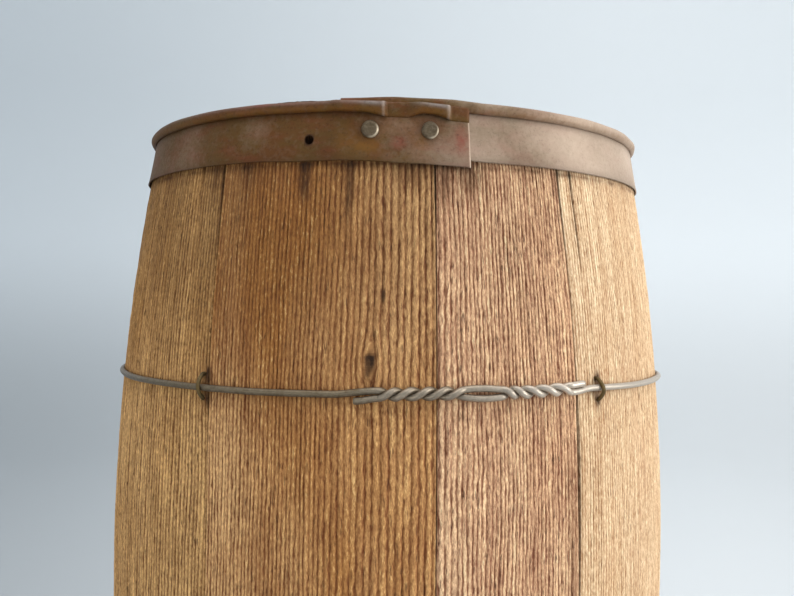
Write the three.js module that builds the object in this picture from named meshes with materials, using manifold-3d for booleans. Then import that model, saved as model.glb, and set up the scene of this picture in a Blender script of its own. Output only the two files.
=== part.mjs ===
// A slack keg of ten sawn staves with two boarded heads, a rolled sheet-steel hoop at each end and two twisted wire
// hoops held by staples. Millimetres, +Z up, origin at the centre of the lower rim. Angles are in degrees about Z,
// from the front (-Y) towards +X. The hoops, heads and fastenings of the lower end are those of the upper end turned
// end for end about the X axis.

import * as THREE from 'three';
import { mergeVertices } from 'three/addons/utils/BufferGeometryUtils.js';
import Module from 'manifold-3d';

const wasm = await Module();
wasm.setup();

// ---------- driving dimensions ----------

const HEIGHT = 457; // over the stave ends
const BILGE_RADIUS = 157; // outside, at half height
const SWELL = 0.0657; // share of the bilge radius lost one bilge radius above or below the middle
const FIT_GAP = 0.3; // between two pieces that touch
const FACET_ANGLE = 6; // of every surface that runs round the keg
const MERGE_TOLERANCE = 1e-3;

const SEAM_ANGLES = [-33.5, 7.5, 33.5, 76.5, 112.5, 142.5, 182.5, 217.5, 243.5, 283.5];
const STAVE_THICKNESS = 12;
const OUTSIDE_ROWS = 8; // rows of flat faces from end to end of a stave
const INSIDE_ROWS = 4; // between its two grooves
const CHIME_FLAT = 6; // width of the flat end of a stave
const CHIME_BEVEL_HEIGHT = 8;
const CROZE_HEIGHT = 26; // from the stave end to the middle of the groove
const CROZE_WIDTH = 5;
const CROZE_DEPTH = 4;
const WEDGE_INSIDE = 60; // radii between which a stave is parted from the ring of staves
const WEDGE_OUTSIDE = 220;

const HEAD_THICKNESS = 12;
const HEAD_BEVEL_WIDTH = 10;
const HEAD_SIDES = 30;
const HEAD_GRAIN_ANGLE = 20;
const HEAD_JOINTS = [-41, 44]; // of the boards, from the middle of the head
const DOWEL_RADIUS = 4;
const DOWEL_LENGTH = 36;
const DOWEL_OFFSET = 62; // along the joint, either side of its middle
const DOWEL_SIDES = 10;

const SHEET = 0.8; // steel of the end hoops
const HOOP_LOWER_EDGE = 429.5;
const HOOP_SEAT_GAP = 0.4;
const BEAD_CENTRE_HEIGHT = 453.7;
const BEAD_HALF_WIDTH = 1.9; // of the rolled edge, outside
const BEAD_HALF_HEIGHT = 2.8;
const BEAD_LIP_ANGLE = -60; // where the rolled edge stops, from its outermost line
const BEAD_STEP_ANGLE = 80;
const LAP_START = -10; // hidden end of the hoop strip, under the lap
const LAP_END = 13.9; // visible end of the hoop strip
const BEAD_START = 15; // the hidden end has no rolled edge as far as here
const LAP_RAMP = [336, 348]; // where the strip climbs onto its own hidden end

const RIVET_ANGLES = [-4.3, 6.5];
const RIVET_HEIGHT = 442.5;
const RIVET_HEAD_RADIUS = 3.6;
const RIVET_HEAD_HEIGHT = 1.8;
const RIVET_SHANK_RADIUS = 2;
const RIVET_TAIL_RADIUS = 3.2;
const RIVET_TAIL_THICKNESS = 0.8;

const NAIL_ANGLES = [-15.7, 102, 222]; // the first nail of the upper hoop is lost
const NAIL_HEIGHT = 438.4;
const NAIL_HEAD_RADIUS = 3.5;
const NAIL_HEAD_THICKNESS = 1;
const NAIL_SHANK_RADIUS = 1.5;
const NAIL_LENGTH = 10.5; // below the face of the stave
const ROUND_SIDES = 10; // of rivets and nails

const WIRE_RADIUS = 1.55;
const WIRE_HEIGHT = 328;
const WIRE_SIDES = 6;
const TWIST_START = -1.8;
const EYE_START = 11.5; // the open eye in the middle of the twist
const EYE_END = 18.1;
const TWIST_END = 31.1;
const LOWER_CUT_END = -5.6; // ends of the wire either side of the twist
const UPPER_CUT_END = 34.5;
const HALF_TURNS = 5; // on each side of the eye
const STEPS_PER_HALF_TURN = 4;
const EYE_STEPS = 4;
const EYE_OPENING = 0.4; // added to each strand's distance from the twist's axis
const STRAND_OFFSET = WIRE_RADIUS + 0.25;
const TWIST_APPROACH = 6; // length over which a strand leaves the single line

const STAPLE_ANGLES = [-34.6, 39.6, 112, 184, 256];
const STAPLE_WIRE_RADIUS = 1;
const STAPLE_HALF_SPAN = 5.5;
const STAPLE_CROWN = 5; // of its centre line above the stave
const STAPLE_LEG = 9; // into the stave
const STAPLE_CROWN_STEPS = 6;
const STAPLE_SIDES = 6;

// ---------- small helpers ----------

const radians = THREE.MathUtils.degToRad;
const smooth = (value, from, to) => THREE.MathUtils.smoothstep(value, from, to);

const outerRadius = (z) => BILGE_RADIUS * (1 - SWELL * ((z - HEIGHT / 2) / BILGE_RADIUS) ** 2);
const innerRadius = (z) => outerRadius(z) - STAVE_THICKNESS;
const outward = (angle) => new THREE.Vector3(Math.sin(radians(angle)), -Math.cos(radians(angle)), 0);
const sideways = (angle) => new THREE.Vector3(Math.cos(radians(angle)), Math.sin(radians(angle)), 0);
const onCircle = (radius, angle, z) => outward(angle).multiplyScalar(radius).setZ(z);

// Values from one number to another in equal steps, both ends included.
function spaced(from, to, steps) {
  return Array.from({ length: steps + 1 }, (_, i) => from + ((to - from) * i) / steps);
}

// The facet angles between two angles, with the two angles themselves at the ends.
function facetAngles(from, to) {
  const angles = [from];
  for (let a = (Math.floor(from / FACET_ANGLE) + 1) * FACET_ANGLE; a < to - 1e-6; a += FACET_ANGLE) {
    angles.push(a);
  }
  return [...angles, to];
}

function toSolid(geometry) {
  const bare = geometry.clone();
  bare.deleteAttribute('normal');
  bare.deleteAttribute('uv');
  const merged = mergeVertices(bare, MERGE_TOLERANCE);
  const mesh = new wasm.Mesh({
    numProp: 3,
    vertProperties: new Float32Array(merged.attributes.position.array),
    triVerts: new Uint32Array(merged.index.array),
  });
  return new wasm.Manifold(mesh);
}

function toGeometry(solid) {
  const mesh = solid.getMesh();
  const geometry = new THREE.BufferGeometry();
  geometry.setAttribute('position', new THREE.BufferAttribute(mesh.vertProperties, 3));
  geometry.setIndex(new THREE.BufferAttribute(mesh.triVerts, 1));
  geometry.computeVertexNormals();
  return geometry;
}

const cutAll = (solid, tools) => tools.reduce((rest, tool) => rest.subtract(toSolid(tool)), solid);

// A solid of revolution about Z from [radius, height] pairs.
function revolve(pairs, segments) {
  const points = pairs.map(([radius, height]) => new THREE.Vector2(radius, height));
  return new THREE.LatheGeometry(points, segments).rotateX(Math.PI / 2);
}

// Moves a piece whose own axis is Z so that its axis points straight out of the keg's side.
function standOnSide(geometry, radius, angle, z) {
  const frame = new THREE.Matrix4().makeBasis(sideways(angle), new THREE.Vector3(0, 0, 1), outward(angle));
  return geometry.applyMatrix4(frame.setPosition(onCircle(radius, angle, z)));
}

// A path whose steps fall on chosen stations.
class SteppedPath extends THREE.Curve {
  constructor(stations, place) {
    super();
    this.stations = stations;
    this.place = place;
  }

  getUtoTmapping(u) {
    return u;
  }

  getPoint(t) {
    const last = this.stations.length - 1;
    const i = Math.min(Math.floor(t * last), last - 1);
    return this.place(THREE.MathUtils.lerp(this.stations[i], this.stations[i + 1], t * last - i));
  }
}

function sweep(section, stations, place) {
  const extrudePath = new SteppedPath(stations, place);
  return new THREE.ExtrudeGeometry(section, { steps: stations.length - 1, extrudePath, bevelEnabled: false });
}

function roundSection(radius, sides) {
  const corners = spaced(0, 2 * Math.PI, sides).slice(0, sides);
  return new THREE.Shape(corners.map((a) => new THREE.Vector2(radius * Math.cos(a), radius * Math.sin(a))));
}

// ---------- staves ----------

// The closed outline of a stave in [radius, height], with a chime bevel and a croze groove at both ends.
function staveSection() {
  const grooveStart = CROZE_HEIGHT - CROZE_WIDTH / 2;
  const grooveEnd = CROZE_HEIGHT + CROZE_WIDTH / 2;
  const lowerEnd = [
    [outerRadius(0) - CHIME_FLAT, 0],
    [innerRadius(CHIME_BEVEL_HEIGHT), CHIME_BEVEL_HEIGHT],
    [innerRadius(grooveStart), grooveStart],
    [innerRadius(grooveStart) + CROZE_DEPTH, grooveStart],
    [innerRadius(grooveEnd) + CROZE_DEPTH, grooveEnd],
  ];
  const upperEnd = lowerEnd.map(([radius, height]) => [radius, HEIGHT - height]);
  const outside = spaced(0, HEIGHT, OUTSIDE_ROWS).map((z) => [outerRadius(z), z]);
  const inside = spaced(HEIGHT - grooveEnd, grooveEnd, INSIDE_ROWS).map((z) => [innerRadius(z), z]);
  return [...outside, ...upperEnd, ...inside, ...lowerEnd.reverse(), outside[0]];
}

// The space of one stave: a wedge whose two faces stand half a gap inside its seams.
function staveWedge(from, to) {
  const corners = [
    [from, WEDGE_INSIDE, 1],
    [from, WEDGE_OUTSIDE, 1],
    [to, WEDGE_OUTSIDE, -1],
    [to, WEDGE_INSIDE, -1],
  ].map(([angle, radius, side]) => {
    return onCircle(radius, angle, 0).addScaledVector(sideways(angle), (side * FIT_GAP) / 2);
  });
  const outline = new THREE.Shape(corners.map((p) => new THREE.Vector2(p.x, p.y)));
  const overshoot = 5;
  const wedge = new THREE.ExtrudeGeometry(outline, { depth: HEIGHT + 2 * overshoot, bevelEnabled: false });
  return toSolid(wedge.translate(0, 0, -overshoot));
}

// ---------- heads ----------

const HEAD_CENTRE = HEIGHT - CROZE_HEIGHT;
const HEAD_RADIUS = innerRadius(HEAD_CENTRE) + CROZE_DEPTH - 2 * FIT_GAP;

function headDisc() {
  const half = HEAD_THICKNESS / 2;
  const edgeHalf = CROZE_WIDTH / 2 - FIT_GAP;
  const tongueRadius = HEAD_RADIUS - CROZE_DEPTH - FIT_GAP;
  const flatRadius = tongueRadius - HEAD_BEVEL_WIDTH;
  const outline = [
    [0, -half],
    [flatRadius, -half],
    [tongueRadius, -edgeHalf],
    [HEAD_RADIUS, -edgeHalf],
    [HEAD_RADIUS, edgeHalf],
    [tongueRadius, edgeHalf],
    [flatRadius, half],
    [0, half],
  ];
  return toSolid(revolve(outline, HEAD_SIDES).translate(0, 0, HEAD_CENTRE));
}

// Turns a piece laid out with its grain along X, and lifts it to the head.
function laidInHead(geometry) {
  return geometry.rotateZ(radians(HEAD_GRAIN_ANGLE)).translate(0, 0, HEAD_CENTRE);
}

function dowel(joint, along, clearance) {
  const length = DOWEL_LENGTH + 2 * clearance;
  const radius = (DOWEL_RADIUS + clearance) / (clearance > 0 ? Math.cos(Math.PI / DOWEL_SIDES) : 1);
  const peg = new THREE.CylinderGeometry(radius, radius, length, DOWEL_SIDES);
  return laidInHead(peg.translate(along, joint, 0));
}

const dowelPlaces = HEAD_JOINTS.flatMap((joint) => [-DOWEL_OFFSET, DOWEL_OFFSET].map((along) => [joint, along]));

function headBoards() {
  const disc = cutAll(headDisc(), dowelPlaces.map(([joint, along]) => dowel(joint, along, FIT_GAP)));
  const reach = 2 * HEAD_RADIUS;
  const edges = [-reach, ...HEAD_JOINTS, reach];
  return edges.slice(1).map((upper, i) => {
    const width = upper - edges[i] - FIT_GAP;
    const box = new THREE.BoxGeometry(2 * reach, width, 2 * HEAD_THICKNESS);
    return toGeometry(disc.intersect(toSolid(laidInHead(box.translate(0, (upper + edges[i]) / 2, 0)))));
  });
}

// ---------- end hoop ----------

// Distance of the hoop's own sheet from the circle that its section is drawn on.
const HOOP_CIRCLE = outerRadius(HOOP_LOWER_EDGE);
const seatAt = (z) => outerRadius(z) + HOOP_SEAT_GAP;

// Outward and upward distances become the frame that a section keeps along a level ring.
function ringSection(pairs) {
  return new THREE.Shape(pairs.map(([radius, z]) => new THREE.Vector2(-z, HOOP_CIRCLE - radius)));
}

function bandSection() {
  return ringSection([
    [seatAt(HOOP_LOWER_EDGE), HOOP_LOWER_EDGE],
    [seatAt(BEAD_CENTRE_HEIGHT), BEAD_CENTRE_HEIGHT],
    [seatAt(BEAD_CENTRE_HEIGHT) + SHEET, BEAD_CENTRE_HEIGHT],
    [seatAt(HOOP_LOWER_EDGE) + SHEET, HOOP_LOWER_EDGE],
  ]);
}

// The band with its upper edge rolled outwards and down, open towards the band.
function beadedSection() {
  const centre = seatAt(BEAD_CENTRE_HEIGHT) + BEAD_HALF_WIDTH;
  const steps = (180 - BEAD_LIP_ANGLE) / BEAD_STEP_ANGLE;
  const arc = (inset) => {
    return spaced(180, BEAD_LIP_ANGLE, steps).map((angle) => [
      centre + (BEAD_HALF_WIDTH - inset) * Math.cos(radians(angle)),
      BEAD_CENTRE_HEIGHT + (BEAD_HALF_HEIGHT - inset) * Math.sin(radians(angle)),
    ]);
  };
  return ringSection([
    [seatAt(HOOP_LOWER_EDGE), HOOP_LOWER_EDGE],
    ...arc(0),
    ...arc(SHEET).reverse(),
    [seatAt(HOOP_LOWER_EDGE) + SHEET, HOOP_LOWER_EDGE],
  ]);
}

function hoopLine(angle) {
  const climb = (SHEET + FIT_GAP) * smooth(angle, LAP_RAMP[0], LAP_RAMP[1]);
  return onCircle(HOOP_CIRCLE + climb, angle, 0);
}

function endHoop() {
  const joinEnd = Math.ceil(BEAD_START / FACET_ANGLE) * FACET_ANGLE;
  const hiddenEnd = sweep(bandSection(), [...facetAngles(LAP_START, BEAD_START), joinEnd], hoopLine);
  const strip = sweep(beadedSection(), facetAngles(BEAD_START, 360 + LAP_END), hoopLine);
  const holes = [
    ...RIVET_ANGLES.map((angle) => rivet(angle, FIT_GAP)),
    ...NAIL_ANGLES.map((angle) => nail(angle, FIT_GAP)),
  ];
  return toGeometry(cutAll(toSolid(strip).add(toSolid(hiddenEnd)), holes));
}

// ---------- rivets and nails ----------

// Distances outwards from the stave's face at the height of the rivets: both sheets of the lap are between them.
const LAP_OUTSIDE = HOOP_SEAT_GAP + 2 * SHEET + FIT_GAP;
const BAND_OUTSIDE = HOOP_SEAT_GAP + SHEET;

function rivet(angle, clearance) {
  const headSeat = LAP_OUTSIDE + FIT_GAP - clearance;
  const tailSeat = HOOP_SEAT_GAP - FIT_GAP / 2;
  const tailEnd = tailSeat - RIVET_TAIL_THICKNESS - clearance;
  const headRadius = RIVET_HEAD_RADIUS + clearance;
  const shank = RIVET_SHANK_RADIUS + clearance;
  const tail = RIVET_TAIL_RADIUS + clearance;
  const outline = [
    [0, tailEnd],
    [tail, tailEnd],
    [tail, tailSeat],
    [shank, tailSeat],
    [shank, headSeat],
    [headRadius, headSeat],
    [headRadius * 0.8, headSeat + RIVET_HEAD_HEIGHT * 0.6],
    [headRadius * 0.4, headSeat + RIVET_HEAD_HEIGHT],
    [0, headSeat + RIVET_HEAD_HEIGHT],
  ];
  return standOnSide(revolve(outline, ROUND_SIDES), outerRadius(RIVET_HEIGHT), angle, RIVET_HEIGHT);
}

function nail(angle, clearance) {
  const headSeat = BAND_OUTSIDE + FIT_GAP - clearance;
  const headRadius = NAIL_HEAD_RADIUS + clearance;
  const shank = NAIL_SHANK_RADIUS + clearance;
  const outline = [
    [0, -NAIL_LENGTH - clearance],
    [shank, 2 * shank - NAIL_LENGTH - clearance],
    [shank, headSeat],
    [headRadius, headSeat],
    [headRadius * 0.8, headSeat + NAIL_HEAD_THICKNESS],
    [0, headSeat + NAIL_HEAD_THICKNESS],
  ];
  return standOnSide(revolve(outline, ROUND_SIDES), outerRadius(NAIL_HEIGHT), angle, NAIL_HEIGHT);
}

// ---------- wire hoop ----------

// Turn of a strand about the twist's axis: it winds one way up to the eye and back again after it.
function twistPhase(angle) {
  const wound = THREE.MathUtils.clamp((angle - TWIST_START) / (EYE_START - TWIST_START), 0, 1);
  const unwound = THREE.MathUtils.clamp((angle - EYE_END) / (TWIST_END - EYE_END), 0, 1);
  return -90 + 180 * HALF_TURNS * (wound - unwound);
}

// A point of the wire. Its angle runs from the lower cut end, through the twist, once round the keg and through the
// twist again to the upper cut end. The second time through, the wire is the twist's other strand.
function wirePoint(run) {
  const isSecond = run > 180;
  const angle = isSecond ? run - 360 : run;
  const near = smooth(angle, LOWER_CUT_END - TWIST_APPROACH, LOWER_CUT_END);
  const far = 1 - smooth(angle, UPPER_CUT_END, UPPER_CUT_END + TWIST_APPROACH);
  const paired = isSecond ? near : far;
  const inTwist = smooth(angle, LOWER_CUT_END, TWIST_START) * (1 - smooth(angle, TWIST_END, UPPER_CUT_END));
  const inEye = Math.sin(Math.PI * THREE.MathUtils.clamp((angle - EYE_START) / (EYE_END - EYE_START), 0, 1));
  const phase = radians(twistPhase(angle) + (isSecond ? 180 : 0));
  const spread = STRAND_OFFSET * paired + EYE_OPENING * inEye;
  const lift = WIRE_RADIUS + FIT_GAP + STRAND_OFFSET * inTwist;
  const radius = outerRadius(WIRE_HEIGHT) + lift + spread * Math.cos(phase);
  return onCircle(radius, angle, WIRE_HEIGHT + spread * Math.sin(phase));
}

// Angles of the wire's steps: close together where the strands turn about each other.
function twistAngles() {
  const steps = HALF_TURNS * STEPS_PER_HALF_TURN;
  return [
    ...spaced(TWIST_START, EYE_START, steps),
    ...spaced(EYE_START, EYE_END, EYE_STEPS).slice(1, -1),
    ...spaced(EYE_END, TWIST_END, steps),
  ];
}

function wireHoop() {
  const twist = twistAngles();
  const stations = [
    LOWER_CUT_END,
    ...twist,
    ...facetAngles(UPPER_CUT_END, 360 + LOWER_CUT_END),
    ...twist.map((angle) => angle + 360),
    360 + UPPER_CUT_END,
  ];
  return sweep(roundSection(WIRE_RADIUS, WIRE_SIDES), stations, wirePoint);
}

// ---------- staples ----------

// A staple stands over the wire in an upright plane through the keg's axis: a leg, the crown and a leg.
function staple(angle, clearance) {
  const face = outerRadius(WIRE_HEIGHT);
  const crownRise = STAPLE_CROWN - STAPLE_WIRE_RADIUS;
  const crown = spaced(0, 180, STAPLE_CROWN_STEPS).map((turn) => [
    face + STAPLE_WIRE_RADIUS + crownRise * Math.sin(radians(turn)),
    WIRE_HEIGHT - STAPLE_HALF_SPAN * Math.cos(radians(turn)),
  ]);
  const legEnd = face - STAPLE_LEG - clearance;
  const line = [
    [legEnd, WIRE_HEIGHT - STAPLE_HALF_SPAN],
    ...crown,
    [legEnd, WIRE_HEIGHT + STAPLE_HALF_SPAN],
  ];
  const place = (position) => {
    const i = Math.min(Math.floor(position), line.length - 2);
    const [radius, z] = line[i].map((value, axis) => {
      return THREE.MathUtils.lerp(value, line[i + 1][axis], position - i);
    });
    return onCircle(radius, angle, z);
  };
  const last = line.length - 1;
  return sweep(roundSection(STAPLE_WIRE_RADIUS + clearance, STAPLE_SIDES), spaced(0, last, last), place);
}

// ---------- the ring of staves, cut for its fastenings ----------

const turnedOver = new THREE.Matrix4().makeRotationX(Math.PI).setPosition(0, 0, HEIGHT);

function staves() {
  const tools = [
    ...STAPLE_ANGLES.map((angle) => staple(angle, FIT_GAP)),
    ...RIVET_ANGLES.map((angle) => rivet(angle, FIT_GAP)),
    ...NAIL_ANGLES.map((angle) => nail(angle, FIT_GAP)),
  ];
  const turnedTools = tools.map((tool) => tool.clone().applyMatrix4(turnedOver));
  const ring = cutAll(toSolid(revolve(staveSection(), 360 / FACET_ANGLE)), [...tools, ...turnedTools]);
  return SEAM_ANGLES.map((from, i) => {
    const to = i + 1 < SEAM_ANGLES.length ? SEAM_ANGLES[i + 1] : SEAM_ANGLES[0] + 360;
    return toGeometry(ring.intersect(staveWedge(from, to)));
  });
}

// ---------- finishes ----------

const finish = (color, roughness, metalness) => () => {
  return new THREE.MeshStandardMaterial({ color, roughness, metalness });
};
const STAVE_COLOURS = [
  0xa77b4e, 0xa88a6c, 0xb9a07a, 0xa08660, 0xa5825a, 0x9c7f5b, 0xb09470, 0xa07850, 0xa98d68, 0x98896a,
];
const headWood = finish(0xa98c66, 0.85, 0);
const dowelWood = finish(0xbfa37a, 0.8, 0);
const hoopSteel = finish(0x84695a, 0.55, 0.7);
const rivetSteel = finish(0x8b7d70, 0.5, 0.8);
const zincWire = finish(0x8d857a, 0.45, 0.9);
const stapleIron = finish(0x5d4f3c, 0.6, 0.7);
const nailSteel = finish(0x6c6157, 0.55, 0.7);

// ---------- assembly ----------

const keg = new THREE.Group();
const upperEnd = new THREE.Group();
const lowerEnd = new THREE.Group();
lowerEnd.rotation.x = Math.PI;
lowerEnd.position.z = HEIGHT;
keg.add(upperEnd, lowerEnd);

function place(group, name, geometry, material) {
  const mesh = new THREE.Mesh(geometry, material());
  mesh.name = name;
  group.add(mesh);
}

staves().forEach((geometry, i) => {
  const number = String(i + 1).padStart(2, '0');
  place(keg, `stave_${number}`, geometry, finish(STAVE_COLOURS[i], 0.85, 0));
});

const boards = headBoards();
const hoop = endHoop();
const wire = wireHoop();
const ends = [
  { group: upperEnd, end: 'top', wireName: 'upper', nailAngles: NAIL_ANGLES.slice(1) },
  { group: lowerEnd, end: 'bottom', wireName: 'lower', nailAngles: NAIL_ANGLES },
];
for (const { group, end, wireName, nailAngles } of ends) {
  boards.forEach((board, i) => place(group, `${end}_head_board_${i + 1}`, board, headWood));
  dowelPlaces.forEach(([joint, along], i) => {
    place(group, `${end}_head_dowel_${i + 1}`, dowel(joint, along, 0), dowelWood);
  });
  place(group, `${end}_end_hoop`, hoop, hoopSteel);
  RIVET_ANGLES.forEach((angle, i) => place(group, `${end}_hoop_rivet_${i + 1}`, rivet(angle, 0), rivetSteel));
  nailAngles.forEach((angle, i) => place(group, `${end}_hoop_nail_${i + 1}`, nail(angle, 0), nailSteel));
  place(group, `${wireName}_wire_hoop`, wire, zincWire);
  STAPLE_ANGLES.forEach((angle, i) => {
    place(group, `${wireName}_staple_${i + 1}`, staple(angle, 0), stapleIron);
  });
}

export default keg;
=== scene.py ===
import math

import bmesh
import bpy
import numpy as np
from mathutils import Matrix, Vector


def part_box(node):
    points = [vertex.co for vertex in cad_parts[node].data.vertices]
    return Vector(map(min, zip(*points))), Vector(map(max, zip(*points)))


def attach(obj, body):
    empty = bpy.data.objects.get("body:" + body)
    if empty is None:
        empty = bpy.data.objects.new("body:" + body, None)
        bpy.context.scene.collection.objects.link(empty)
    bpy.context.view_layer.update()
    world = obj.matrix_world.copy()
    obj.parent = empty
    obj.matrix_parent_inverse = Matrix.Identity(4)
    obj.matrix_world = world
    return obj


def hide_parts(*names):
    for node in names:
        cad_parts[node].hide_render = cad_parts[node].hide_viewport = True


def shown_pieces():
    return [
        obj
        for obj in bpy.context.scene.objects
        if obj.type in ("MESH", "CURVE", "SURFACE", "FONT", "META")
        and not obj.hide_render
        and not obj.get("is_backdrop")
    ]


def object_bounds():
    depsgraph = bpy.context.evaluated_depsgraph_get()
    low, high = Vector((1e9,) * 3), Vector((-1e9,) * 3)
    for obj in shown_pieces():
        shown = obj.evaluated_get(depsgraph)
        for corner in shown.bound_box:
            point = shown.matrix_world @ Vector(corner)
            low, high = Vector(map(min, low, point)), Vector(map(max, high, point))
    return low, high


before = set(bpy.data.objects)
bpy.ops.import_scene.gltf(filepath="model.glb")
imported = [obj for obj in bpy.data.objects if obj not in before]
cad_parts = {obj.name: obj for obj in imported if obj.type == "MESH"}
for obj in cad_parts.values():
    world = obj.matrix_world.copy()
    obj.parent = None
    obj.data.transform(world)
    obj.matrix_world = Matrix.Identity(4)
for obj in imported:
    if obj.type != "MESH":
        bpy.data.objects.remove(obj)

# The look of the slack keg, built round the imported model. The keg's lengths are millimetres until a mesh is
# made, and those of the floor, lights and camera are metres. Heights run up from the lower rim, and angles are
# degrees about Z from the front (-Y) towards +X.

cad_low, cad_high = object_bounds()
MM = 0.001

# ---- dimensions ----

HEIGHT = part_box("stave_01")[1].z / MM
BILGE_RADIUS = cad_high.x / MM
SWELL = 0.0657
ARC_DEGREE = math.pi / 180 * BILGE_RADIUS
SEAM_ANGLES = [-33.5, 7.5, 33.5, 76.5, 112.5, 142.5, 182.5, 217.5, 243.5, 283.5]
STAVE_THICKNESS = 12.0
CHIME_FLAT = 6.0
CHIME_BEVEL = 8.0
CROZE_HEIGHT = 26.0
CROZE_WIDTH = 5.0
CROZE_DEPTH = 4.0
COLUMN_PITCH = 0.6
ROW_PITCH = 2.0
SEAM_GAP = 0.12
INNER_PITCH = 2.1

HEAD_THICKNESS = 12.0
HEAD_GRAIN_ANGLE = math.radians(20.0)
HEAD_JOINTS = [-41.0, 44.0]

SHEET = 0.8
HOOP_LOWER = 429.6
BEAD_HEIGHT = 453.7
BAND_POINTS = 12
ROLL_POINTS = 20
LAP_START = -9.9
LAP_END = 13.9
NAIL_HEIGHT = 438.4
LOST_NAIL_ANGLE = -15.65
NAIL_HOLE_RADIUS = 2.1
RIVET_HEIGHT = 442.5
RIVET_ANGLES = (-4.3, 6.5)
NAIL_ANGLES = {"top": [102, 222], "bottom": [-15.7, 102, 222]}

WIRE_RADIUS = 1.52
WIRE_HEIGHT = 327.6
STAPLE_RADIUS = 0.92

def outer_radius(z):
    return BILGE_RADIUS * (1 - SWELL * ((z - HEIGHT / 2) / BILGE_RADIUS) ** 2)

def together(*parts):
    """One array of points from their coordinates."""
    return np.stack(np.broadcast_arrays(*parts), -1)

def polar(radius, angle, z):
    a = np.radians(angle)
    return together(radius * np.sin(a), -radius * np.cos(a), z)

def smooth(value, low, high):
    t = np.clip((value - low) / (high - low), 0, 1)
    return t * t * (3 - 2 * t)

def bell(value, centre, width):
    return np.exp(-(((value - centre) / width) ** 2))

def table(places, spec):
    """Values between those listed, from a pair of lists: places and values."""
    return np.interp(places, *spec)

def spread_over(share, values):
    """Values spaced evenly over shares from 0 to 1."""
    return np.interp(share, np.linspace(0, 1, len(values)), values)

def wrap(angle):
    """An angle or difference of angles brought between -180 and 180."""
    return (angle + 180) % 360 - 180

# ---- noise ----

def lattice(ix, iy, seed):
    n = (ix * 374761393 + iy * 668265263 + seed * 974634777) & 0xFFFFFFFF
    n = ((n ^ (n >> 13)) * 1274126177) & 0xFFFFFFFF
    return ((n ^ (n >> 16)) & 0xFFFF) / 32767.5 - 1

def noise(x, y, seed):
    """Smooth value noise from -1 to 1."""
    x, y = np.broadcast_arrays(x, y)
    ix, iy = np.floor(x).astype(np.int64), np.floor(y).astype(np.int64)
    fx, fy = x - ix, y - iy
    fx, fy = fx * fx * (3 - 2 * fx), fy * fy * (3 - 2 * fy)
    a = lattice(ix, iy, seed) * (1 - fx) + lattice(ix + 1, iy, seed) * fx
    b = lattice(ix, iy + 1, seed) * (1 - fx) + lattice(ix + 1, iy + 1, seed) * fx
    return a * (1 - fy) + b * fy

# ---- meshes ----

def finish_piece(obj, slot, nodes):
    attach(obj, "root")
    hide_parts(*nodes)
    obj.data.materials.clear()
    obj.data.materials.append(FINISHES[slot])

def write_attribute(mesh, key, values):
    values = np.asarray(values, np.float32)
    vector = values.ndim == 2
    attribute = mesh.attributes.new(key, "FLOAT_VECTOR" if vector else "FLOAT", "POINT")
    attribute.data.foreach_set("vector" if vector else "value", values.ravel())

def link_object(name, data):
    obj = bpy.data.objects.new(name, data)
    bpy.context.scene.collection.objects.link(obj)
    return obj

def ring_quads(rings, sides):
    i, j = np.meshgrid(np.arange(rings - 1), np.arange(sides), indexing="ij")
    k, l = i + 1, (j + 1) % sides
    return together(i * sides + j, k * sides + j, k * sides + l, i * sides + l).reshape(-1, 4)

def ring_mesh(name, points, attributes, sharp, lower_end=False):
    """An object from closed rings of points in millimetres, capped at its first and last ring, or its twin at
    the lower end. Faces look outwards, and edges bent by more than sharp degrees stay sharp."""
    rings, sides = points.shape[:2]
    if lower_end:
        # turned over, end for end
        points = points * np.array([1, -1, -1]) + np.array([0, 0, HEIGHT])
    points = points.reshape(-1, 3)
    quads = ring_quads(rings, sides)
    caps = [np.arange(sides), np.arange((rings - 1) * sides, rings * sides)[::-1]]
    fans = (together(cap[0], cap[1:-1], cap[2:]) for cap in caps)
    a, b, c = points[joined(quads[:, [0, 1, 2]], quads[:, [0, 2, 3]], *fans)].transpose(1, 0, 2)
    if np.sum(a * np.cross(b, c)) < 0:
        quads, caps = quads[:, ::-1], [cap[::-1] for cap in caps]
    loops = joined(quads.ravel(), *caps)
    sizes = joined(np.full(len(quads), 4), [sides, sides])
    mesh = bpy.data.meshes.new(name)
    mesh.vertices.add(len(points))
    mesh.vertices.foreach_set("co", (points * MM).astype(np.float32).ravel())
    mesh.loops.add(len(loops))
    mesh.loops.foreach_set("vertex_index", loops.astype(np.int32))
    mesh.polygons.add(len(sizes))
    mesh.polygons.foreach_set("loop_start", (np.cumsum(sizes) - sizes).astype(np.int32))
    mesh.update(calc_edges=True)
    for key, values in attributes.items():
        shape = (len(points), 3) if key == "grain" else len(points)
        values = np.full(shape, values) if np.ndim(values) == 0 else np.reshape(values, shape)
        write_attribute(mesh, key, values)
    mesh.polygons.foreach_set("use_smooth", np.ones(len(sizes), bool))
    mesh.validate()
    if sharp:
        mesh.set_sharp_from_angle(angle=math.radians(sharp))
    return link_object(name, mesh)

def joined(*parts, axis=0):
    return np.concatenate(parts, axis)

def unit(vectors):
    return vectors / np.linalg.norm(vectors, axis=-1)[..., None]

def around(sides):
    return np.linspace(0, 2 * np.pi, sides, endpoint=False)

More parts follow.
